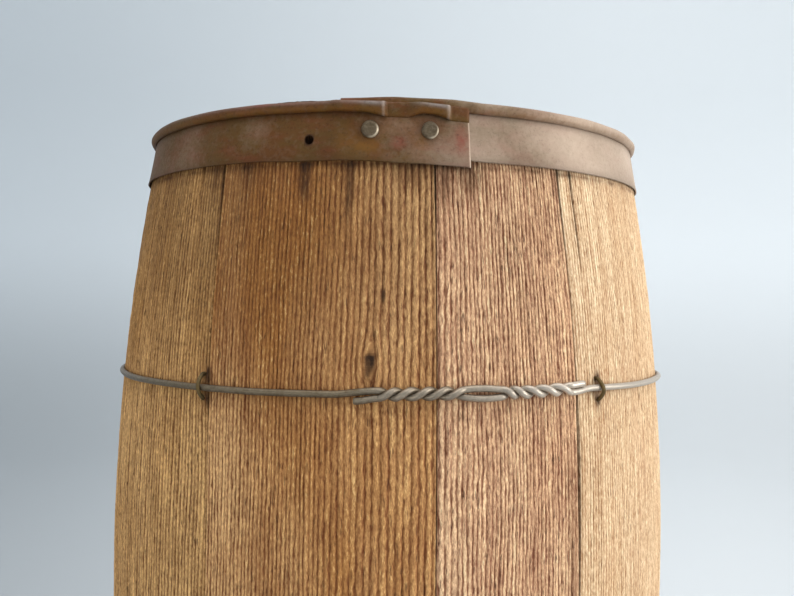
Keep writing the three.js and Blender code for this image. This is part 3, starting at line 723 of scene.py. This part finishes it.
def hoop_path(run, settle):
    """The middle of the hoop's sheet at one angle, as [radius, height] from its lower edge up and round the
    roll. The lap's under layer rises a little at its end and the layer over it sags, scaled by settle."""
    over = run > 180
    angle = run if run < 180 else run - 360
    out = 0.75 + 0.12 * noise(run / 19, 1.0, 31)
    cover = pinch = hang = tucked = 0.0
    if over:
        band_shift, roll_shift = (settle * table(angle, sag) for sag in (BAND_SAG, ROLL_SAG))
        cover = smooth(angle, -13, -9.5)
        out += 1.15 * cover - 0.35 * smooth(angle, LAP_END - 0.42, LAP_END)
        if angle > -8:
            pinch, hang = crimp(angle), crimp_reach(angle)
    else:
        band_shift = roll_shift = settle * table(angle, UNDER_RISE)
        tucked = 1 - smooth(angle, 13.0, 15.5)
    half_w = 1.55 * (1 - 0.66 * pinch) * (1 - 0.4 * tucked) * (1 + 0.08 * noise(run / 5, 3.0, 33))
    half_h = 2.12 * (1 + 0.42 * hang) * (1 + 0.05 * noise(run / 7, 2.0, 32))
    roll_shift = roll_shift - 0.89 * hang
    band_z = np.linspace(HOOP_LOWER, BEAD_HEIGHT - 1.6, BAND_POINTS)
    share = (band_z - HOOP_LOWER) / (BEAD_HEIGHT - HOOP_LOWER)
    flare = 0.35 * np.exp(-(band_z - HOOP_LOWER) / 2.2) * (1 + 0.6 * noise(run / 11, 4.0, 34))
    belly = 0.22 * np.sin(np.pi * share) * (1 + noise(run / 15, 5.0, 35))
    band_height = band_z + band_shift * (1 - share) + roll_shift * share
    band = together(outer_radius(band_z) + out + flare + belly, band_height)
    a = np.radians(np.linspace(175, -105, ROLL_POINTS))
    square = 1 - 0.45 * pinch
    reach = half_w * np.sign(np.cos(a)) * np.abs(np.cos(a)) ** square
    rise = half_h * np.sign(np.sin(a)) * np.abs(np.sin(a)) ** square
    proud = 0.9 * cover * (1 - 0.8 * pinch) * smooth(np.linspace(0, 1, ROLL_POINTS), 0, 0.35)
    centre = outer_radius(BEAD_HEIGHT) + out + half_w + proud
    return joined(band, together(centre + reach, BEAD_HEIGHT + roll_shift + rise))

def hoop_runs():
    """Angles along the hoop, closer together in the lap."""
    under = np.arange(LAP_START, UNDER_END, 0.3)
    ring = np.arange(UNDER_END, 342.01, 1.0)
    return joined(under, ring, np.arange(342.2, 360 + LAP_END, 0.2), [360 + LAP_END])

def hoop_marks(run, z, share, inner):
    """How soiled and shaded, tarnished and red the hoop is, and where sheen and highlights are painted on it.
    Share counts points up the sheet, through the band and round the roll, and inner is 1 on the sheet's inner
    face, which is the roll's outer one."""
    roll_start = BAND_POINTS + 0.5
    hidden = np.where(share < roll_start, inner, 1 - inner)
    seen = 1 - hidden
    turn = wrap(run)
    over = run > 180
    on_lap = over * seen
    flat = crimp(turn) * (np.abs(turn) < 14) * over
    crown = bell(share, 21, 1.8) * seen
    # Painted shade in the crease under the roll and on the sheet's hidden faces; darker also along the band's
    # lower edge and in a line on top of the roll.
    soil_and_shade = (0.7 * bell(share, 11.5, 1.3) + 0.3 * np.exp(-share / 1.2) + 0.3 * bell(share, 17.8, 1.0)) * seen
    soil_and_shade = soil_and_shade + 0.6 * hidden
    # A stain and painted shade of the dent round each rivet, set a little to its left and below.
    for rivet_angle in RIVET_ANGLES:
        away = np.hypot(np.radians(turn - rivet_angle + 0.35) * 146, z - 441.6)
        soil_and_shade = soil_and_shade + 0.42 * np.exp(-((away / 5.2) ** 4)) * over
    # Painted highlight: a bright, clean strip along the lap's cut end.
    cut_edge_highlight = smooth(run, 360 + LAP_END - 0.3, 360 + LAP_END - 0.12) * (share < 11.5)
    # Painted highlight: bright clean metal along the left edge of each crimp on the roll.
    pleat_highlight = (bell(turn, -1.95, 0.36) + bell(turn, 9.75, 0.36)) * smooth(share, 14, 17) * on_lap
    aged = np.where(over, 1.0, 1.3 - 0.5 * smooth(run, LAP_END, LAP_END + 6) - 0.8 * smooth(run, 18, 48))
    patina_and_highlight = 1.0 - table(run, FADE) + 0.15 * noise(run / 9, z / 12, 38)
    patina_and_highlight = patina_and_highlight + 0.3 * smooth(share, roll_start, 14) * seen * aged - 0.55 * pleat_highlight - 0.62 * cut_edge_highlight
    # Painted sheen: a grey reflection along the roll's crown, on the keg's left and between the crimps, and a
    # little on the pleats.
    painted_sheen = 0.22 * crown * smooth(run, 290, 330) * (1 - flat) + 0.15 * pleat_highlight
    painted_sheen = painted_sheen + crown * over * (bell(turn, -4, 2.4) + bell(turn, 7.8, 2.3)) * (1 - flat) * 0.5
    blush = (0.45 * bell(turn, -27, 4) + 0.3 * bell(turn, -20, 3)) * crown
    for strength, at, height, wide, tall in BLUSHES:
        blush += strength * bell(turn, at, wide / 2.48) * bell(z, height, tall) * on_lap
    blush -= 0.25 * (share < 12) * (1 - smooth(turn, 6, 11)) * on_lap
    blush -= 0.8 * bell(share, 26.5, 2.6) * (1 - 0.7 * flat) * on_lap
    blush -= 0.5 * bell(share, 26.5, 3) * seen * (1 - over)
    soil_and_shade, patina_and_highlight = np.clip(soil_and_shade * (1 - cut_edge_highlight), 0, 1), np.clip(patina_and_highlight, 0, 1)
    return {"soil_and_shade": soil_and_shade, "patina_and_highlight": patina_and_highlight, "blush": blush, "painted_sheen": painted_sheen}

def end_hoop(name, lower_end):
    runs = hoop_runs()
    paths = np.array([hoop_path(run, 0.0 if lower_end else 1.0) for run in runs])
    tangent = unit(np.gradient(paths, axis=1))
    half = together(tangent[..., 1], -tangent[..., 0]) * SHEET / 2
    lower_edge, upper_edge = paths[:, :1] - tangent[:, :1] * 0.3, paths[:, -1:] + tangent[:, -1:] * 0.3
    loop = joined(lower_edge, paths + half, upper_edge, (paths - half)[:, ::-1], axis=1)
    radius, z = loop[..., 0], loop[..., 1]
    run = np.broadcast_to(runs[:, None], radius.shape)
    dent = 0.12 * noise(run / 6, z / 9, 36) + 0.05 * noise(run / 1.6, z / 5, 37)
    points = polar(radius + dent, run, z)
    up = np.arange(BAND_POINTS + ROLL_POINTS)
    share = joined([0], up, [up[-1]], up[::-1])
    inner = np.repeat([0, 1], [len(up) + 2, len(up)])
    marks = hoop_marks(run, z, share, inner)
    coords = together(np.radians(run) * 141, z, share * 0.2) + lower_end * np.array([700, 40, 5])
    return ring_mesh(name, points, {"grain": coords, **marks}, 45, lower_end)

def pierce(obj, angle, height, radius):
    """A punched hole straight through the band."""
    axis = polar(1.0, angle, 0.0)
    bm = bmesh.new()
    size = radius * MM
    bmesh.ops.create_cone(bm, cap_ends=True, segments=28, radius1=size, radius2=size, depth=0.02)
    turn = Vector((0, 0, 1)).rotation_difference(Vector(axis)).to_matrix().to_4x4()
    move = Matrix.Translation(Vector(polar(outer_radius(height), angle, height)) * MM)
    bmesh.ops.transform(bm, matrix=move @ turn, verts=bm.verts)
    mesh = bpy.data.meshes.new("punch")
    bm.to_mesh(mesh)
    bm.free()
    punch = link_object("punch", mesh)
    cut = obj.modifiers.new("punch", "BOOLEAN")
    cut.operation, cut.solver, cut.object = "DIFFERENCE", "EXACT", punch
    bpy.context.view_layer.update()
    result = bpy.data.meshes.new_from_object(obj.evaluated_get(bpy.context.evaluated_depsgraph_get()))
    obj.modifiers.clear()
    from_hole = np.array([v.co for v in result.vertices]) / MM - polar(0.0, angle, height)
    out = from_hole @ axis
    near = (np.linalg.norm(from_hole - np.outer(out, axis), axis=1) < radius + 0.2) & (out > 0)
    for key, value in (("soil_and_shade", 0.75), ("patina_and_highlight", 1.0)):
        values = np.zeros(len(near), np.float32)
        result.attributes[key].data.foreach_get("value", values)
        values[near] = value
        result.attributes[key].data.foreach_set("value", values)
    obj.data = result
    bpy.data.objects.remove(punch)

# ---- wire hoop ----

# The two strands turn round one line: how far round they have turned, and the line's height, by angle.
TWIST = ([-1.8, -0.5, 1.9, 4.7, 7.3, 10.1, 11.5, 18.1, 19.2, 21.1, 23.8, 26.7, 29.7, 31.1],
         [-90, 0, 180, 360, 540, 720, 810, 810, 720, 540, 360, 180, 0, -90])
LINE = ([-60, -23, -14, -8, -0.5, 7, 10, 17, 24, 27, 30, 35.6, 50, 90],
        [327.2, 327.1, 327.4, 327.6, 328.2, 328.8, 328.8, 328.6, 328.8, 329.1, 329.4, 328.9, 328.2, 327.8])
TWIST_START, TWIST_END, TWIST_STEP = -1.8, 31.1, 0.22

def wire_path():
    """The middle of the wire from its lower cut end, round the keg and back through the twist."""
    fine = np.arange(TWIST_START, TWIST_END, TWIST_STEP)
    first = [np.arange(-5.6, TWIST_START, 0.35), fine, np.arange(TWIST_END, 60, 0.6)]
    second = [np.arange(-30, TWIST_START, 0.6), fine, np.arange(TWIST_END, 34.6, 0.35)]
    angle = joined(*first, np.arange(60, 330, 1.2), 360 + joined(*second))
    is_second = angle > 180
    local = np.where(is_second, angle - 360, angle)
    phase = table(local, TWIST)
    eased = np.convolve(np.pad(phase, 2, mode="edge"), np.array([1, 2, 3, 2, 1]) / 9, mode="valid")
    in_fine = (local > TWIST_START) & (local < TWIST_END) & (np.abs(np.gradient(local) - TWIST_STEP) < 0.05)
    phase = np.radians(np.where(in_fine, eased, phase) + 180 * is_second)
    height = table(local, LINE) + 0.35 * noise(angle / 22, 3.0, 41) * smooth(np.abs(local), 45, 70)
    eye = np.sin(np.pi * np.clip((local - 11.5) / 6.6, 0, 1))
    spread = 1.56 + 0.06 * noise(angle / 2.1, 1.0, 43) + 0.62 * eye
    paired = np.where(is_second, smooth(local, -9.5, -2.0), 1 - smooth(local, 31.5, 37))
    twist = smooth(local, -7.5, -1.0) * (1 - smooth(local, 30.5, 36))
    lift = 0.95 + 0.45 * smooth(local, 10, 45) * (1 - smooth(local, 100, 160))
    lift = (lift + 0.2 * noise(angle / 17, 5.0, 42)) * (1 - twist) + 2.95 * twist
    # the cut ends stand away from the other strand
    low_end, high_end = ~is_second, is_second * smooth(local, TWIST_END, 34.5)
    z = height + spread * paired * np.sin(phase) - 1.2 * low_end * smooth(-local, 1.6, 5.6) + 0.75 * high_end
    out = lift + spread * paired * np.cos(phase) * twist
    out = out + 0.5 * low_end * (1 - smooth(local, -5.6, -2.0)) + 0.6 * high_end
    return polar(outer_radius(WIRE_HEIGHT) + out, angle, z)

def wire_hoop(name, lower_end):
    points, grain = tube(wire_path(), WIRE_RADIUS, 14, 0.35)
    out = np.linalg.norm(points[..., :2], axis=-1)
    forward = points[..., 1] if lower_end else -points[..., 1]
    angle = np.degrees(np.arctan2(points[..., 0], forward))
    # Painted highlight: the strands on the side towards the window are drawn cleaner and brighter.
    window_side_highlight = smooth(angle, 5, 35) * (1 - smooth(angle, 90, 130))
    patina_and_highlight = 0.95 - 0.2 * smooth(out, 155.5, 158.0) - 0.55 * window_side_highlight
    marks = {"grain": grain, "soil_and_shade": 0.5 * (1 - smooth(out, 153.0, 155.0)), "patina_and_highlight": patina_and_highlight}
    return ring_mesh(name, points, marks, 50, lower_end)

# ---- staples, rivets, nails ----

def staple(name, angle, z, half, crown, seed, lower_end):
    """A staple across the wire: its crown's middle stands out by crown less its own radius."""
    lean = np.random.default_rng(seed).uniform(-0.8, 0.8)
    turn = np.linspace(-1, 1, 25)
    base = outer_radius(z)
    legs = np.linspace(-8, -0.3, 5)
    out = joined(legs, 0.4 + (crown - 1.5) * (1 - np.abs(turn) ** 1.9), legs[::-1])
    height = joined(np.full(5, z - half), z + half * turn, np.full(5, z + half))
    path = polar(base + out, angle + np.degrees(lean * (height - z) / half / base), height)
    points, grain = tube(path, STAPLE_RADIUS, 12, 0.3)
    soil_and_shade = 0.5 * (1 - smooth(np.linalg.norm(points[..., :2], axis=-1) - base, 0.5, 2.5))
    grain += np.array([seed * 3.0, seed * 7.0, 0])
    marks = {"grain": grain, "soil_and_shade": soil_and_shade, "patina_and_highlight": 0.9}
    return ring_mesh(name, points, marks, 50, lower_end)

def rivet_marks(grain):
    """The rivet's soil, in a ring, and its patina, with a highlight painted on the rim's lower right side."""
    rim = np.linalg.norm(grain[..., :2], axis=-1)
    toward_light = (grain[..., 0] * 0.8 - grain[..., 1] * 0.6) / np.maximum(rim, 0.1)
    return 0.12 * bell(rim, 2.7, 0.5), 0.95 - 0.75 * bell(rim, 3.5, 0.4) * smooth(toward_light, 0.1, 0.9)

def nail_marks(grain):
    """The nail's soil and patina, even all over."""
    return 0.15, 0.85

# Each pin's outline as [radius, distance out from the staves] pairs, its sides, height, first seed and marks.
PINS = {
    "rivet": (((3.0, -0.9), (3.2, -0.6), (3.1, -0.2), (2.0, 0.0), (2.0, 2.25), (3.8, 2.3), (3.9, 2.55),
               (3.88, 2.9), (3.7, 3.25), (3.35, 3.65), (3.05, 3.85), (2.8, 3.91), (2.2, 3.91), (1.5, 3.85),
               (0.8, 3.85), (0.3, 3.87)), 36, RIVET_HEIGHT, 50, rivet_marks),
    "nail": (((0.3, -10.3), (1.4, -7.5), (1.5, 1.5), (3.3, 1.55), (3.5, 1.85), (3.3, 2.25), (2.2, 2.45),
              (0.5, 2.5)), 28, NAIL_HEIGHT, 60, nail_marks),
}

def pin(name, kind, angle, count, lower_end):
    """A rivet or a nail through the hoop."""
    outline, sides, z, first_seed, marks = PINS[kind]
    seed = first_seed + count + 5 * lower_end
    points, grain = turned(outline, sides, angle, z, seed)
    soil_and_shade, patina_and_highlight = marks(grain)
    values = {"grain": grain + seed * 5.0, "soil_and_shade": soil_and_shade, "patina_and_highlight": patina_and_highlight}
    return ring_mesh(name, points, values, 0, lower_end)

# ---- finishes ----

FINISHES = {
    "warm_stave": wood(
        "wood_warm", (182, 125, 64), (103, 51, 19), (148, 92, 46), (50, 24, 10), (242, 193, 134),
        groove=0.5, depth=0.88, waver=0.32, fibres=0.7, flecks=0.55),
    "pink_stave": wood(
        "wood_pink", (226, 174, 132), (118, 68, 47), (174, 124, 92), (64, 35, 21), (252, 213, 168),
        groove=0.52, depth=0.9, waver=0.38, strands=0.5, fibres=0.78, flecks=0.7, fuzz=0.9),
    "golden_stave": wood(
        "wood_golden", (228, 192, 150), (158, 112, 70), (210, 168, 132), (116, 74, 40), (240, 212, 174),
        groove=0.55, depth=0.62, waver=0.2, strands=0.65, fibres=0.85, flecks=0.7, patches=0.2, clouds=0.12),
    "grey_stave": wood(
        "wood_grey", (183, 129, 63), (94, 53, 18), (138, 96, 50), (50, 27, 10), (230, 182, 120),
        groove=0.52, depth=0.84, waver=0.2, strands=0.55, fibres=0.75, flecks=0.7),
    "head_board": wood(
        "wood_head", (194, 156, 112), (132, 96, 62), (150, 118, 88), (88, 60, 40), (214, 180, 138),
        groove=0.5, depth=0.55, patches=0.5, fuzz=0.4),
    "head_dowel": wood(
        "wood_dowel", (210, 176, 130), (176, 140, 96), (180, 146, 104), (130, 96, 64), (226, 196, 150)),
    "hoop_steel": metal(
        "steel_hoop", (88, 51, 18), (82, 58, 22), (132, 50, 42), (190, 168, 148), (40, 24, 12),
        metallic=0.15, roughness=0.55, bump=0.0001),
    "rivet_steel": metal(
        "steel_rivet", (90, 75, 55), (80, 66, 48), (92, 72, 52), (216, 200, 174), (44, 34, 24),
        metallic=0.4, roughness=0.45, scale=2.2),
    "hoop_wire": metal(
        "wire_zinc", (113, 100, 80), (98, 85, 65), (104, 90, 70), (210, 198, 184), (42, 32, 22),
        metallic=0.6, roughness=0.38, scale=2),
    "staple_iron": metal(
        "iron_staple", (100, 80, 46), (88, 72, 42), (104, 78, 48), (136, 120, 88), (34, 24, 14),
        metallic=0.4, roughness=0.5, scale=3),
}

# ---- assembly ----

for number, spec in STAVES.items():
    finish_piece(stave(number), spec["slot"], [f"stave_{number:02d}"])

BOARD_EDGES = [-1000.0, *HEAD_JOINTS, 1000.0]
for end, seed in (("top", 300), ("bottom", 500)):
    for i in range(3):
        board = head_board(f"{end}_board_{i + 1}", *BOARD_EDGES[i:i + 2], end == "bottom", seed + 31 * i)
        finish_piece(board, "head_board", [f"{end}_head_board_{i + 1}"])
    for i in range(4):
        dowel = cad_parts[f"{end}_head_dowel_{i + 1}"].data
        dowel.materials.clear()
        dowel.materials.append(FINISHES["head_dowel"])
        x, y, z = (np.array([v.co for v in dowel.vertices]) / MM).T
        cos, sin = math.cos(HEAD_GRAIN_ANGLE), math.sin(HEAD_GRAIN_ANGLE)
        across, along = y * cos - x * sin, x * cos + y * sin
        write_attribute(dowel, "grain", together(across, along, z))
        write_attribute(dowel, "phase", across / INNER_PITCH)

for end, wire in (("top", "upper"), ("bottom", "lower")):
    lower_end = end == "bottom"
    hoop = end_hoop(f"{end}_rolled_hoop", lower_end)
    if end == "top":
        pierce(hoop, LOST_NAIL_ANGLE, NAIL_HEIGHT, NAIL_HOLE_RADIUS)
    finish_piece(hoop, "hoop_steel", [f"{end}_end_hoop"])
    for kind, angles in (("rivet", RIVET_ANGLES), ("nail", NAIL_ANGLES[end])):
        for i, angle in enumerate(angles):
            obj = pin(f"{end}_{kind}_{i + 1}", kind, angle, i, lower_end)
            finish_piece(obj, "rivet_steel", [f"{end}_hoop_{kind}_{i + 1}"])
    finish_piece(wire_hoop(f"{wire}_twisted_wire", lower_end), "hoop_wire", [f"{wire}_wire_hoop"])
    for i, where in enumerate(STAPLES):
        obj = staple(f"{wire}_wire_staple_{i + 1}", *where, 70 + i + 9 * lower_end, lower_end)
        finish_piece(obj, "staple_iron", [f"{wire}_staple_{i + 1}"])

# ---- floor and backdrop ----

PAPER_LIT = rgb(242, 246, 248)
PAPER_SHADE = rgb(196, 203, 208)
FLOOR_RADIUS = 1.6
WALL_CURVE = 1.1
FLOOR_SIDES = 96

def paper():
    """Pale paper with painted light: lighter to the right of the keg, where the window is, and painted shade
    low down.
    """
    n = Nodes("pale_paper")
    position = n.add("NewGeometry", {}, "Position")
    x, y, z = n.parts(position)
    cloud = n.noise(position, 2, 0.5, scale=(1.2, 1.2, 1.2))
    pale = n.mix(cloud, PAPER_LIT, tuple(v * 0.98 for v in PAPER_LIT))
    turn = n.math("DIVIDE", x, n.plus(n.math("MAXIMUM", y, 0.0), 1.0))
    colour = n.mix(n.ramp(turn, -0.5, 0.3), PAPER_SHADE, pale)
    low = n.ramp(z, 0.0, 0.6, n.ramp(turn, -0.5, 0.3, 0.42, 0.26), 0.0)
    n.surface(Base_Color=n.mix(low, colour, (0, 0, 0, 1)), Roughness=0.9, Specular_IOR_Level=0.1)
    return n.material

def backdrop():
    """A round pale floor that curves up into a wall on every side."""
    outline = [(FLOOR_RADIUS * i / 4, 0.0) for i in range(1, 5)]
    for t in np.radians(np.linspace(6, 90, 15)):
        outline.append((FLOOR_RADIUS + WALL_CURVE * math.sin(t), WALL_CURVE * (1 - math.cos(t))))
    outline += [(FLOOR_RADIUS + WALL_CURVE, WALL_CURVE + 0.4 * i) for i in range(1, 5)]
    verts = [(r * math.cos(t), r * math.sin(t), z) for r, z in outline for t in around(FLOOR_SIDES)]
    middle = len(verts)
    faces = ring_quads(len(outline), FLOOR_SIDES)[:, ::-1].tolist()
    faces += [(middle, i, (i + 1) % FLOOR_SIDES) for i in range(FLOOR_SIDES)]
    mesh = bpy.data.meshes.new("floor")
    mesh.from_pydata(verts + [(0.0, 0.0, 0.0)], [], faces)
    mesh.polygons.foreach_set("use_smooth", np.ones(len(faces), bool))
    bm = bmesh.new()
    bm.from_mesh(mesh)
    bmesh.ops.recalc_face_normals(bm, faces=bm.faces)
    bm.to_mesh(mesh)
    bm.free()
    obj = link_object("floor", mesh)
    mesh.materials.append(paper())
    obj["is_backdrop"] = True

backdrop()

# ---- light and camera ----

# The window and its far reflection light the keg alone, so that the paper behind it stays even.
lit = bpy.data.collections.new("lit_by_window")
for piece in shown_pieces():
    lit.objects.link(piece)

# Each light's name, place, target, size, power and colour, and whether it lights the keg alone.
for name, place, target, size, power, colour, alone in (
    ("window", (1.9, -0.55, 0.6), (0, 0, 0.3), (1.1, 1.1), 27, (1.0, 0.985, 0.95), True),
    ("fill", (-1.2, -1.3, 0.1), (0, 0, 0.25), (0.9, 0.6), 9.5, (1.0, 0.95, 0.86), True),
    ("top", (0.3, -0.3, 2.0), (0, 0, 0), (1.8, 1.8), 19, (1.0, 1.0, 1.0), False),
):
    light = bpy.data.lights.new(name, "AREA")
    light.shape = "RECTANGLE"
    light.size, light.size_y = size
    light.energy = power
    light.color = colour
    obj = link_object(name, light)
    obj.location = place
    obj.rotation_euler = (Vector(target) - Vector(place)).to_track_quat("-Z", "Y").to_euler()
    obj.visible_camera = False
    if alone:
        obj.light_linking.receiver_collection = lit

world = bpy.data.worlds.new("sky")
bpy.context.scene.world = world
world.use_nodes = True
background = world.node_tree.nodes["Background"]
background.inputs["Color"].default_value = (0.97, 0.985, 1.0, 1)
background.inputs["Strength"].default_value = 1.26

SENSOR = 36.0
LENS = 38.358
ROLL = 0.0145
YAW = 0.0064
CAMERA_PLACE = (0, -0.5106, 0.36875)
camera_data = bpy.data.cameras.new("camera")
camera_data.sensor_width = SENSOR
camera_data.lens = LENS
camera_data.dof.use_dof = False
camera_data.clip_start = 0.01
camera = link_object("camera", camera_data)
camera.matrix_world = Matrix.Translation(CAMERA_PLACE)
for angle, axis in ((-YAW, "Z"), (math.pi / 2, "X"), (ROLL, "Z")):
    camera.matrix_world = camera.matrix_world @ Matrix.Rotation(angle, 4, axis)
bpy.context.scene.camera = camera
bpy.context.scene.view_settings.view_transform = "Standard"
